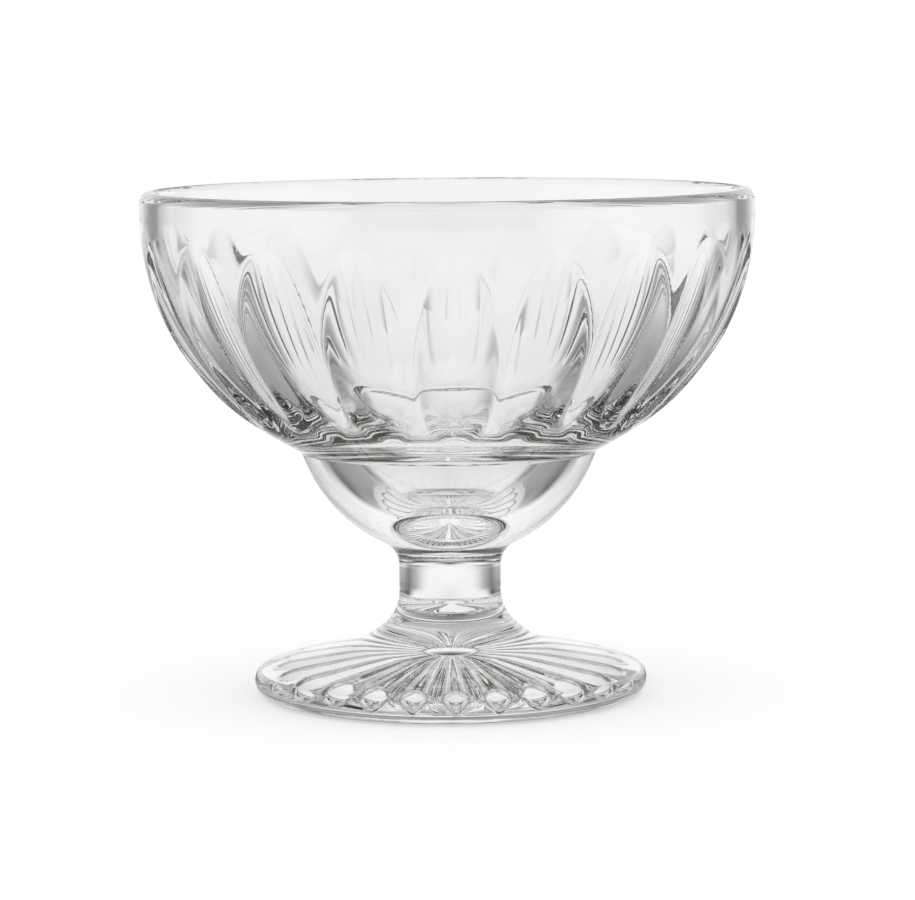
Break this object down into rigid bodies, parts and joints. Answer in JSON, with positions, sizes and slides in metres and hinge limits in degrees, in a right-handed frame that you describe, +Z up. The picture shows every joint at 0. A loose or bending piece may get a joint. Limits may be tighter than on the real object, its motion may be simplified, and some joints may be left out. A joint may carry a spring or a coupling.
{
  "type": "parfait glass",
  "caption": "Footed pressed-glass coupe for parfait or ice cream: wide fluted bowl over a smooth hollow cup, short spool stem, round foot with a petal star underneath.",
  "frame": {"origin": "on the axis of the glass, at the height of the surface that the foot rests on", "axes": "+Z up along the axis of the glass towards the lip; +X and +Y level, with a flute and a petal centred on each"},
  "size_m": [0.11, 0.11, 0.0911],
  "materials": {
    "pressed_glass": "clear soda-lime glass, pressed and fire-polished"
  },
  "bodies": {
    "root": {"bowl": "pressed_glass", "stem": "pressed_glass", "foot": "pressed_glass"}
  },
  "joints": []
}
